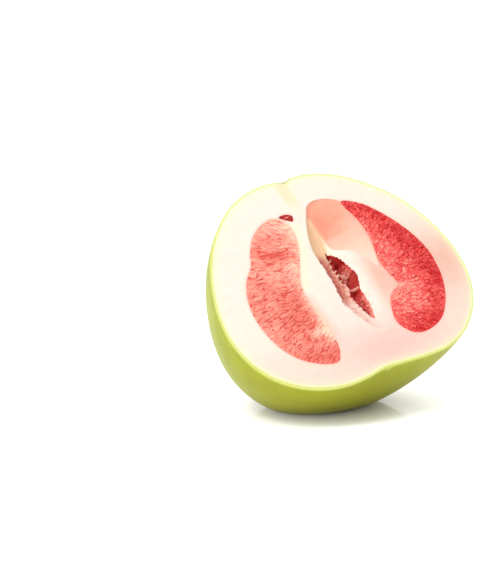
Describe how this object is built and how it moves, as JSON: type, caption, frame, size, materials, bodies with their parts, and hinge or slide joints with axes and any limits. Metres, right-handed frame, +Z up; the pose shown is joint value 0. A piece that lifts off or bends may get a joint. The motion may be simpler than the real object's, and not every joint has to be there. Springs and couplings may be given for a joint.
{
  "type": "half pomelo",
  "caption": "Half of a large citrus fruit, cut lengthwise, lying tilted on its round green side with the pale cut face, red pulp and an open pocket showing.",
  "frame": {"origin": "on the resting surface, under the middle of the object's box", "axes": "+Z up from the resting surface; the cut face looks towards -Y, turned 21.6 degrees to +X and leaning back 41.65 degrees"},
  "size_m": [0.1606, 0.1382, 0.135],
  "materials": {
    "skin": "waxy yellow-green citrus rind with fine oil glands",
    "pith": "soft off-white spongy pith, matte",
    "salmon_pulp": "moist salmon juice sacs with radial streaks",
    "red_pulp": "moist deep red juice sacs, granular",
    "membrane": "smooth thin segment membrane, salmon to pale",
    "dark_pulp": "wet dark crimson juice sacs"
  },
  "bodies": {
    "root": {"skin": "skin", "pith": "pith", "left_segment": "salmon_pulp", "right_segment": "red_pulp", "middle_segment": "membrane", "upper_segment": "dark_pulp", "core_pulp": "dark_pulp"}
  },
  "joints": []
}
